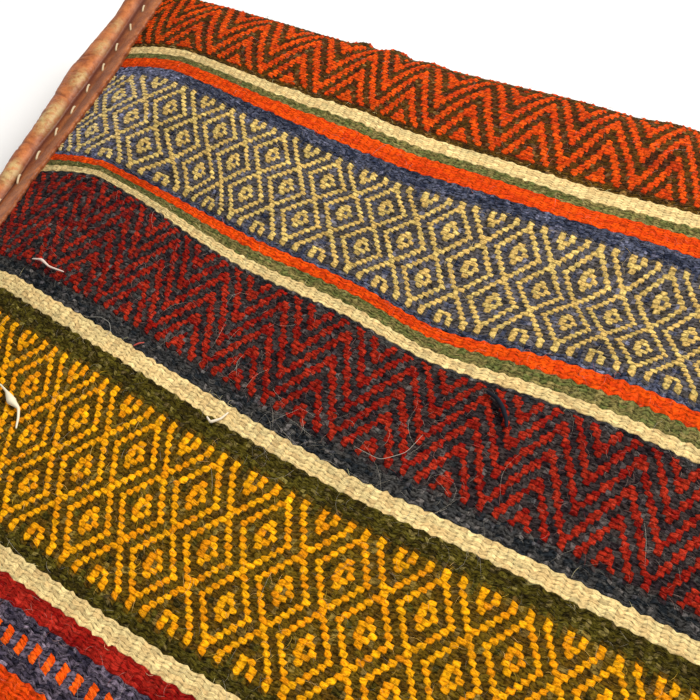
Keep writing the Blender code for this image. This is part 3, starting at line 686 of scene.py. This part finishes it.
back_row = fold_row - fold_turn / row_step
back_rows = np.concatenate([fold_row - np.linspace(0, fold_turn, 9)[:-1] / row_step,
                            np.arange(back_row, fold_row - (fold_turn + sack_length) / row_step
                                      - coarse_pick, -coarse_pick)])
panel("back_weave", back_rows, back_surface)


def lining_surface(level, offset):
    def surface(c, r):
        v = np.clip((r - fold_row) / (mouth_row - fold_row), lining_start, 1)
        edge = half_width(v) - cloth_thickness
        x = np.clip(first_rib_x + rib * c, -edge, edge)
        z = level(x / half_width(v), v) + offset
        return np.stack([x, fold_y - sack_length * v + fold_bow(x, v), z], axis=-1)
    return surface


lining_rows = np.arange(fold_row, mouth_row + 2 * coarse_pick, 2 * coarse_pick)
panel("front_lining", lining_rows, lining_surface(front_level, -cloth_thickness))
panel("back_lining", lining_rows, lining_surface(back_level, cloth_thickness), flip=True)


# Side bindings. Tan leather is wrapped over the cloth's edge and a thick cord, which makes a
# round roll; a flat wing lies on the cloth, and stitches run in the groove between them.
def leather_material(name, light, dark, scale):
    """Worn leather: mottled tone, pale where it is rubbed, dark with painted shade in the groove, fine
    grain, creases.
    """
    made, tree = new_material(name)
    where = add_node(tree, "TexCoord")
    patches = add_node(tree, "TexNoise", {"Vector": where.outputs["Object"], "Scale": scale,
                                          "Detail": 6.0, "Roughness": 0.7})
    level = add_node(tree, "MapRange", {"Value": patches.outputs["Fac"], "From Min": 0.38,
                                        "From Max": 0.62})
    tone = add_node(tree, "Mix", {0: level, 6: linear(dark), 7: linear(light)}, data_type="RGBA")
    wear_and_shade = add_node(tree, "Attribute", attribute_name="wear_and_shade")
    parts = add_node(tree, "SeparateColor", {"Color": wear_and_shade.outputs["Color"]})
    blotches = add_node(tree, "TexNoise", {"Vector": where.outputs["Object"], "Scale": 420.0,
                                           "Detail": 3.0, "Roughness": 0.6})
    rubbed = add_node(tree, "MapRange", {"Value": blotches.outputs["Fac"], "From Min": 0.35,
                                         "From Max": 0.6, "To Min": 0.2, "To Max": 1.0})
    pale_share = add_node(tree, "Math", {0: rubbed, 1: parts.outputs["Red"]}, operation="MULTIPLY")
    pale = add_node(tree, "Mix", {0: pale_share, 6: tone.outputs[2], 7: linear("#CDAC72")},
                    data_type="RGBA")
    # the green channel darkens the leather: painted shade in the groove, in the roll's creases and at the
    # wing's edge
    painted_shade_mix = add_node(tree, "Mix", {0: parts.outputs["Green"], 6: pale.outputs[2],
                                    7: linear("#5E2A1A")}, data_type="RGBA")
    grain = add_node(tree, "TexNoise", {"Vector": where.outputs["Object"], "Scale": 1100.0,
                                        "Detail": 4.0})
    creases = add_node(tree, "TexVoronoi", {"Vector": where.outputs["Object"], "Scale": 260.0},
                       feature="DISTANCE_TO_EDGE")
    relief = add_node(tree, "Math", {0: grain.outputs["Fac"], 1: creases.outputs["Distance"]},
                      operation="ADD")
    bump = add_node(tree, "Bump", {"Height": relief, "Strength": 0.6, "Distance": 0.0004})
    rough = add_node(tree, "MapRange", {"Value": grain.outputs["Fac"], "To Min": 0.35, "To Max": 0.65})
    finish_material(tree, {"Base Color": painted_shade_mix.outputs[2], "Roughness": rough, "Normal": bump,
                           "Specular IOR Level": 0.35, "Coat Weight": 0.05, "Coat Roughness": 0.35})
    return made


def mesh_object(name, grids, paint, body, replaced=(), capped=True):
    """One smooth piece of several grids of points, each closed round and capped at its ends."""
    vertices, faces = [], []
    for points in grids:
        base = len(vertices)
        rows, columns = points.shape[:2]
        vertices.extend(map(tuple, points.reshape(-1, 3)))
        faces.extend((quads_of(rows, columns, True).reshape(-1, 4) + base).tolist())
        if capped:
            faces.append([base + i for i in range(columns)])
            faces.append([base + (rows - 1) * columns + i for i in reversed(range(columns))])
    made = bpy.data.meshes.new(name)
    made.from_pydata(vertices, [], faces)
    made.update()
    made.shade_smooth()
    return add_piece(name, made, paint, body, replaced)


binding_leather = leather_material("tan_binding_leather", "#CE7A40", "#964E24", 130.0)
leather_thickness = 0.0016
groove_out = 0.0065
roll_out, roll_radius = 0.0129, 0.0055
wing_in, wing_inner = 0.0090, 0.0134    # reach of the wing near the fold, and further on
binding_start, binding_end = -0.283, 0.2943


def edge_frame(side, y):
    """Point of the cloth's side edge at y, and the way out from it, level."""
    slope = 4 * draw_in * (1 - 2 * (fold_y - y) / sack_length) / sack_length
    x = side * half_width((fold_y - y) / sack_length)
    out = np.stack([side * np.ones_like(y), -slope, 0 * y], axis=-1)
    return np.stack([x, y, 0 * y + seam_middle], axis=-1), unit(out)


def leaf_level(y, o, face):
    """Height of the cloth over the seam line, o metres out from its edge, on one face."""
    v = (fold_y - y) / sack_length
    u = np.clip((half_width(v) + o) / half_width(v), 0, 1)
    over = front_level(u, v) if face > 0 else back_level(u, v)
    return np.abs(over - seam_middle)


# Puffs of the roll, at y, each with its size and reach: they stand on its inner side
puffs = ((0.262, 0.0010, 0.009), (0.243, 0.0012, 0.008), (0.218, 0.0013, 0.010), (0.188, 0.0022,
                                                                                  0.012), (0.150,
                                                                                           0.0016,
                                                                                           0.010),
         (0.118, 0.0012, 0.009), (0.052, 0.0010, 0.011), (-0.010, 0.0014, 0.012), (-0.062, 0.0011,
                                                                                   0.009), (-0.128,
                                                                                            0.0013,
                                                                                            0.012),
         (-0.181, 0.0010, 0.010), (-0.236, 0.0013, 0.011))
crease_rng = np.random.default_rng(11)
crease_count = 84
crease_y = np.cumsum(crease_rng.uniform(0.003, 0.011, crease_count)) - 0.285
crease_depth = crease_rng.uniform(0.00015, 0.00065, crease_count)
crease_tilt = crease_rng.normal(0, 0.0014, crease_count)
crease_turn = crease_rng.uniform(0.0, 2.6, crease_count)


def puff_share(y, turn):
    """How much a puff stands up at y, round the roll at this turn from its outer side."""
    inner_side = np.maximum(np.cos(turn - 1.95), 0) ** 3
    return sum(size * bell(y, puff_y, reach) for puff_y, size, reach in puffs) * inner_side


def roll_bulge(y, turn):
    """Extra radius of the roll: soft puffs, slow waves, and creases across the wrapped leather."""
    extra = puff_share(y, turn)
    for k, (pitch, tilt) in enumerate(((0.031, 0.5), (0.0173, -1.3), (0.0092, 0.5))):
        extra = extra + 0.00016 / (1 + k) * np.sin(2 * np.pi * y / pitch + tilt * turn + k)
    for at, depth, tilt, middle in zip(crease_y, crease_depth, crease_tilt, crease_turn):
        extra = extra - depth * bell(y, at + tilt * (turn - middle), 0.0007) * bell(turn, middle, 1.1)
    return extra


def wing_reach(y):
    """How far in the wing reaches over the cloth: uneven, wider away from the fold."""
    reach = wing_in + (wing_inner - wing_in) * smooth((0.150 - y) / 0.03)
    reach = reach - 0.0022 * smooth((y - 0.225) / 0.02)
    return reach + 0.0003 * np.sin(y * 610) + 0.00025 * np.sin(y * 1430 + 1)


def roll_sag(side, y):
    """How far the left roll is drawn out on its outer side, and how far all of it lies in."""
    if side > 0:
        return 0 * y, 0 * y
    return 0.0044 * bell(y, 0.226, 0.030), -0.0034 * bell(y, 0.132, 0.026)


def binding_points(side):
    """Points round the binding at stations along it, and the wear and painted shade of each: pale where
    rubbed, dark where shade is painted.
    """
    stations = np.linspace(binding_start, binding_end, 1100)
    edge, out = edge_frame(side, stations)
    drawn, moved = roll_sag(side, stations)
    wing = wing_reach(stations)
    outline, wear_and_shade = [], []
    for face in (1, -1):
        leaf = []
        # dark: painted shade, strongest at the wing's edge on the cloth
        for share, inset, tuck, dark in ((1, 0, 0.1, 0.6), (1, 0.0006, 0.9, 0.25), (1, 0.0016, 1.0, 0.1),
                                         (0.6, 0, 1.0, 0.1), (0.35, 0, 1.0, 0.2), (0.18, 0, 0.95, 0.3),
                                         (0.06, 0, 0.9, 0.35)):
            o = inset - share * wing
            # and a darker stretch of the wing near y = 0.205
            dark = dark + 0.35 * bell(stations, 0.205, 0.032) * (share < 1)
            leaf.append((o, leaf_level(stations, o, face) + tuck * leather_thickness, dark))
        # towards the groove the painted shade deepens
        for o, rise, dark in ((0.0012, 0.0062, 0.25), (0.0030, 0.0050, 0.3), (0.0048, 0.0042, 0.6),
                              (groove_out, 0.0036, 0.95)):
            leaf.append((o * (1 + moved / roll_out), rise + 0 * stations, dark))
        outline.append([(o, face * z) for o, z, dark in leaf])
        wear_and_shade.append([(0 * stations, dark + 0 * stations) for o, z, dark in leaf])
    turns = np.radians(np.linspace(150, -150, 34))
    roll, roll_wear_and_shade = [], []
    for a in turns:
        radius = roll_radius + roll_bulge(stations, a)
        roll.append((roll_out + moved + radius * np.cos(a) + drawn * max(np.cos(a), 0),
                     radius * np.sin(a)))
        # painted shade where the roll turns into the groove, and in its creases
        groove_dark = 0.9 * np.clip((abs(a) - 2.1) / 0.5, 0, 1)
        crease_dark = np.clip((roll_radius + 0.0001 - radius) / 0.0004, 0, 1) * 0.55
        roll_wear_and_shade.append((np.clip(puff_share(stations, a) / 0.0008 - 0.6, 0, 1),
                          np.maximum(groove_dark + 0 * stations, crease_dark)))
    loop = outline[0] + roll + outline[1][::-1]
    wear_and_shade = wear_and_shade[0] + roll_wear_and_shade + wear_and_shade[1][::-1]
    if side < 0:
        loop, wear_and_shade = loop[::-1], wear_and_shade[::-1]
    points = np.stack([edge + out * o[:, None] + np.stack([0 * z, 0 * z, z], axis=-1)
                       for o, z in loop], axis=1)
    return points, np.stack([np.stack([pale, dark], axis=-1) for pale, dark in wear_and_shade], axis=1)


for side, name in ((-1, "left"), (1, "right")):
    points, wear_and_shade = binding_points(side)
    piece = mesh_object(f"{name}_binding_leather", [points], binding_leather,
                        "sack", [f"{name}_binding"])
    colour_points(piece.data, "wear_and_shade", np.pad(wear_and_shade.reshape(-1, 2), ((0, 0), (0, 1))))


# Piping cords. A cotton cord of four strands fills each roll; only the leather round it is seen.
cotton, tree = new_material("cotton_cord")
finish_material(tree, {"Base Color": linear("#D8CBB0"), "Roughness": 0.8})
cord_radius, strand_count, lay, strand_groove = 0.0035, 4, 0.024, 0.0005
for side, name in ((-1, "left"), (1, "right")):
    stations = np.linspace(*(corner.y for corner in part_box(f"{name}_piping_cord")), 420)
    edge, out = edge_frame(side, stations)
    turns = np.linspace(0, 2 * np.pi, 25)[:-1]
    strands = cord_radius - strand_groove * (1 - np.abs(np.sin(strand_count / 2 * (
        turns + 2 * np.pi * stations[:, None] / lay))))
    away = (roll_out + roll_sag(side, stations)[1])[:, None] + strands * np.cos(turns)
    points = edge[:, None] + out[:, None] * away[..., None]
    points[..., 2] += strands * np.sin(turns)
    mesh_object(f"{name}_cotton_cord", [points if side > 0 else points[:, ::-1]], cotton, "sack",
                [f"{name}_piping_cord"])


# Binding stitches. Waxed cream thread, one stitch every 16 mm in the groove, both faces.
def tube(path, radius, sides=8):
    """Points of a round tube along a path; the radius may change along it."""
    path = np.asarray(path, float)
    radius = np.broadcast_to(radius, len(path))
    ahead = unit(np.gradient(path, axis=0))
    aside = unit(np.cross(ahead, (0.12, 0.07, 1.0)))
    above = np.cross(aside, ahead)
    turns = np.arange(sides) * 2 * np.pi / sides
    ring = aside[:, None] * np.cos(turns)[:, None] + above[:, None] * np.sin(turns)[:, None]
    return path[:, None] + ring * radius[:, None, None]


thread, tree = new_material("waxed_cream_thread")
where = add_node(tree, "TexCoord")
twist = add_node(tree, "TexNoise", {"Vector": where.outputs["Object"], "Scale": 1500.0})
tone = add_node(tree, "Mix", {0: twist.outputs["Fac"], 6: linear("#BFA57C"), 7: linear("#E0CDA8")},
                data_type="RGBA")
finish_material(tree, {"Base Color": tone.outputs[2], "Roughness": 0.6, "Sheen Weight": 0.1})
stitch_pitch, stitch_length, thread_radius, stitch_out = 0.0163, 0.0056, 0.0005, 0.0032
first_stitch, stitch_bed = -0.2787, 0.0054


def stitch(start, end, lift):
    """A thread that comes up at start and goes down at end."""
    t = np.linspace(0, 1, 9)[:, None]
    rise = np.sqrt(np.maximum(1 - (2 * t - 1) ** 2, 0)) * 1.6 - 1.0
    return (1 - t) * start + t * end + rise * lift


for side, name in ((-1, "left"), (1, "right")):
    threads = []
    for y in np.arange(first_stitch, binding_end - stitch_length, stitch_pitch):
        ends, out = edge_frame(side, np.array([y, y + stitch_length]))
        for face in (1, -1):
            bed = np.array([0, 0, face * stitch_bed])
            lift = np.array([0, 0, face * thread_radius])
            slant = np.array([[-0.0008], [0.0010]]) + rng.normal(0, 0.0003, (2, 1))
            start, end = ends + out * (stitch_out + slant) + bed
            threads.append(tube(stitch(start, end, lift), thread_radius))
    mesh_object(f"{name}_binding_stitches", threads, thread, "sack")


# Lint and yarn ends. A few light tufts, a dark yarn end and thin loops lie on the front; each
# is a tapered thread: its tone, radius and knot, then the columns and rows that it passes.
for number, (tone, thick, knot, way) in enumerate((
        ("#F2DACB", 0.00040, 0.5, ((-3.4, 39.8), (-1.6, 39.1), (0.4, 39.5), (3.1, 39.0))),
        ("#EDE2C4", 0.00050, 2.2, ((6.3, 57.2), (8.2, 57.5), (9.8, 58.1), (11.4, 58.2), (12.3, 59.1),
                                   (13.2, 60.4))),
        ("#EFE2CA", 0.00042, 0.3, ((35.0, 46.0), (36.0, 46.5), (36.9, 45.4), (37.2, 44.0))),
        ("#9A9890", 0.00010, 0.0, ((11.2, 43.0), (12.8, 42.1), (14.6, 42.1), (15.7, 43.0), (15.5, 44.2))),
        ("#20242C", 0.00085, 0.0, ((64.6, 24.9), (66.2, 25.6), (67.4, 26.8), (68.4, 28.2), (68.9, 29.4))),
        ("#B9B2A4", 0.00009, 0.0, ((53.0, 40.0), (57.0, 40.2), (59.4, 38.0), (60.2, 34.6))),
        ("#C0564C", 0.00028, 0.0, ((20.1, 43.2), (20.6, 42.5), (21.2, 41.9)))), 1):
    t = np.linspace(0, 1, 8 * len(way))
    corners = np.array(way)
    soft = np.exp(-((t[:, None] * (len(way) - 1) - np.arange(len(way))) / 0.62) ** 2)
    c, r = (soft @ corners / soft.sum(axis=1, keepdims=True)).T
    path = place(c, r)
    path = path + off_cloth(c, r, path) * (0.0009 + thick * (0.6 + np.sin(np.pi * t)))[:, None]
    radius = thick * (0.35 + 0.65 * np.sin(np.pi * t) ** 0.5) * (1 + knot * bell(t, 0.38, 0.13))
    piece = mesh_object(f"lint_{number}", [tube(path, radius)], wool_fibre, "sack")
    colour_points(piece.data, "yarn", linear(tone))


# Mouth binding. A folded strip of the same leather closes over the cloth's edge, front and
# back, in one loop round the mouth, and is stitched through.
mouth_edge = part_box("mouth_binding")[0].y
turns = np.linspace(0, 2 * np.pi, 361)[:-1]
wide = np.sign(np.cos(turns)) * np.abs(np.cos(turns)) ** (2 / across_power)
tall = np.sin(turns)
mouth_half = cloth_half - 0.0005
loop_x = mouth_half * wide
loop_z = seam_middle + (seam_front - seam_middle) * np.tanh(6 * tall) + mouth_rise * tall
loop = np.stack([loop_x, loop_z], axis=-1)
ahead = np.roll(loop, -1, axis=0) - np.roll(loop, 1, axis=0)
outward = unit(np.stack([ahead[:, 1], -ahead[:, 0]], axis=-1))
mouth_profile = [(0.0159, 0.0002), (0.0157, 0.0017), (0.0140, 0.0019), (0.0080, 0.0019), (0.0030,
                                                                                          0.0018),
                 (0.0008, 0.0013), (0.0, 0.0), (0.0, -0.0030), (0.0008, -0.0043), (0.0030, -0.0048),
                 (0.0080, -0.0049), (0.0140, -0.0049), (0.0157, -0.0047), (0.0159, -0.0031)]
band = np.stack([np.stack([loop_x + outward[:, 0] * b, mouth_edge + a + 0 * loop_x,
                           loop_z + outward[:, 1] * b], axis=-1) for a, b in mouth_profile], axis=1)
band = np.concatenate([band, band[:1]])[::-1]
mesh_object("mouth_binding_leather", [band], binding_leather, "sack", ["mouth_binding"],
            capped=False)
threads = []
seam_in, seam_out, span = 0.0118, 0.0019, 3
for k in range(span, len(turns) - span, 2 * span):
    if abs(tall[k]) < 0.25:    # none round the two ends of the mouth
        continue
    pair = [np.array([loop_x[i] + outward[i, 0] * seam_out, mouth_edge + seam_in,
                      loop_z[i] + outward[i, 1] * seam_out]) for i in (k, k + span)]
    lift = np.array([outward[k, 0], 0, outward[k, 1]]) * thread_radius
    threads.append(tube(stitch(*pair, lift), thread_radius))
mesh_object("mouth_binding_stitches", threads, thread, "sack")


# Ring tabs. A leather strap goes over the roll, round the bar of each ring and back, and is
# riveted through the seam.
strap_leather = leather_material("brown_strap_leather", "#8A4A2A", "#5A2A16", 60.0)


def ribbon(path, sideways, half_width_at, thickness):
    """A strap with rounded edges along a path in one plane, with its two ends closed."""
    path = np.asarray(path, float)
    ahead = unit(np.gradient(path, axis=0))
    face = np.cross(np.asarray(sideways, float), ahead)
    half = np.broadcast_to(half_width_at, len(path))
    outline = []
    bevel = 0.35 * thickness
    for across_way, over in ((1, 0), (1, 1), (0.5, 1), (0, 1), (-0.5, 1), (-1, 1), (-1, 0), (-1, -1),
                             (-0.5, -1), (0, -1), (0.5, -1), (1, -1)):
        inset = bevel * (abs(over) if abs(across_way) == 1 else 0)
        reach = across_way * (half - inset)
        outline.append(path + np.asarray(sideways) * reach[:, None] + face * over * thickness / 2)
    return np.stack(outline, axis=1)


def resample(corners, spacing):
    """Points at an even spacing along a polyline."""
    corners = np.asarray(corners, float)
    ways = np.concatenate([[0], np.cumsum(np.linalg.norm(np.diff(corners, axis=0), axis=1))])
    count = max(int(ways[-1] / spacing), 2)
    at = np.linspace(0, ways[-1], count + 1)
    return np.stack([np.interp(at, ways, corners[:, i]) for i in range(corners.shape[1])], axis=-1)


tab_thickness, tab_half, tab_end = 0.0020, 0.011, 0.0004
reach_out, bar_wrap = 0.0259, 0.0041    # way out to the ring's bar, and the wrap round it
for name in ("left_fold", "left_mouth", "right_fold", "right_mouth"):
    side = -1 if name.startswith("left") else 1
    low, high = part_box(f"{name}_tab")
    middle_y = np.array([(low.y + high.y) / 2])
    (edge,), (out,) = edge_frame(side, middle_y)
    aside = np.array([-out[1], out[0], 0])
    over_roll = (high.z - low.z) / 2 - tab_thickness / 2
    turn_points = np.linspace(math.pi / 2 - 0.2, -math.pi / 2 + 0.2, 15)
    upper = [(tab_end, over_roll), (roll_out, over_roll)]
    wrap = [(reach_out + bar_wrap * math.cos(a), bar_wrap * math.sin(a)) for a in turn_points]
    lower = [(roll_out, -over_roll), (tab_end, -over_roll)]
    flat_path = resample(upper + wrap + lower, 0.0008)
    path = edge + out * flat_path[:, :1] + np.array([0, 0, 1.0]) * flat_path[:, 1:]
    mesh_object(f"{name}_tab_leather", [ribbon(path, aside, tab_half, tab_thickness)],
                strap_leather, "sack", [f"{name}_tab"])


# Closing straps. Each is one strip of harness leather, riveted under the back of the mouth,
# turned up round its edge and buttoned over a stud; it bends where it leaves the back.
strap_half, strap_thickness = 0.011, 0.0025
strap_turn, anchor_turn = 0.005, 0.003
anchor_bend_y, anchor_drop = -0.280, 0.0004
path_step = 0.0010
hole_radius, hole_sides, hole_reach = 0.0046, 32, 0.004
for name in ("left", "middle", "right"):
    low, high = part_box(f"{name}_strap")
    anchor_low, anchor_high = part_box(f"{name}_strap_anchor")
    stud_low, stud_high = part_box(f"{name}_stud")
    x = (low.x + high.x) / 2
    hang_y = low.y + strap_thickness / 2
    top_z = high.z - strap_thickness / 2
    back_z = anchor_low.z + strap_thickness / 2
    arc_up = [(hang_y + strap_turn * (1 - math.cos(a)), top_z - strap_turn * (1 - math.sin(a)))
              for a in np.linspace(0, math.pi / 2, 8)]
    arc_down = [(hang_y + anchor_turn * (1 - math.cos(a)), back_z + anchor_turn * (1 - math.sin(a)))
                for a in np.linspace(math.pi / 2, 0, 6)]
    line = [(anchor_high.y, anchor_high.z - strap_thickness / 2), (anchor_bend_y, back_z + anchor_drop)]
    line += arc_down + arc_up + [(high.y, top_z)]
    path = np.insert(resample(line, path_step), 0, x, axis=1)
    ways = np.arange(len(path)) * path_step
    to_end = np.minimum(ways, ways[-1] - ways)
    half = strap_half * np.sqrt(np.clip(1 - (1 - to_end / strap_half) ** 2, 0.02, 1)
                                * (to_end < strap_half) + (to_end >= strap_half))
    strap = mesh_object(f"{name}_closing_strap", [ribbon(path, (1, 0, 0), half, strap_thickness)],
                        strap_leather, None, [f"{name}_strap", f"{name}_strap_anchor"])
    hole = bpy.data.objects.new("hole", bpy.data.meshes.new("hole"))
    hole_y = (stud_low.y + stud_high.y) / 2
    ring = np.array([[(x + hole_radius * math.cos(a), hole_y + hole_radius * math.sin(a),
                       top_z + k * hole_reach)
                      for a in np.linspace(0, 2 * np.pi, hole_sides + 1)[:-1]] for k in (-1, 1)])
    hole.data.from_pydata([tuple(p) for p in ring.reshape(-1, 3)], [],
                          quads_of(2, hole_sides, True).reshape(-1, 4)[:, ::-1].tolist()
                          + [list(range(hole_sides)),
                             list(range(2 * hole_sides - 1, hole_sides - 1, -1))])
    bpy.context.collection.objects.link(hole)
    cut = strap.modifiers.new("hole", "BOOLEAN")
    cut.object, cut.solver = hole, "EXACT"
    bpy.context.view_layer.update()
    cut_mesh = bpy.data.meshes.new_from_object(
        strap.evaluated_get(bpy.context.evaluated_depsgraph_get()))
    strap.modifiers.clear()
    strap.data = cut_mesh
    bpy.data.objects.remove(hole)
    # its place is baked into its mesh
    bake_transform(strap)


# Stud patches. A leather patch under each stud spreads its pull on the cloth.
for name in ("left", "middle", "right"):
    low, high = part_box(f"{name}_stud_patch")
    x = (low.x + high.x) / 2
    middle_z = (low.z + high.z) / 2
    path = np.insert(resample([(low.y, middle_z), (high.y, middle_z)], path_step), 0, x, axis=1)
    mesh_object(f"{name}_patch_leather",
                [ribbon(path, (1, 0, 0), (high.x - low.x) / 2, high.z - low.z)],
                strap_leather, "sack", [f"{name}_stud_patch"])


# Brass. Rings, studs, rivets and washers keep their solids, in aged brass; the rivets are
# clenched through their tabs and anchors.
brass, tree = new_material("aged_brass")
where = add_node(tree, "TexCoord")
spots = add_node(tree, "TexNoise", {"Vector": where.outputs["Object"], "Scale": 220.0, "Detail": 5.0})
tone = add_node(tree, "Mix", {0: spots.outputs["Fac"], 6: linear("#6E5427"), 7: linear("#C9A35A")},
                data_type="RGBA")
rough = add_node(tree, "MapRange", {"Value": spots.outputs["Fac"], "To Min": 0.25, "To Max": 0.5})
finish_material(tree, {"Base Color": tone.outputs[2], "Metallic": 1.0, "Roughness": rough})
for name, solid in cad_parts.items():
    if name.endswith(("_ring", "_stud", "_washer")) or "rivet" in name:
        solid.data.materials.clear()
        solid.data.materials.append(brass)
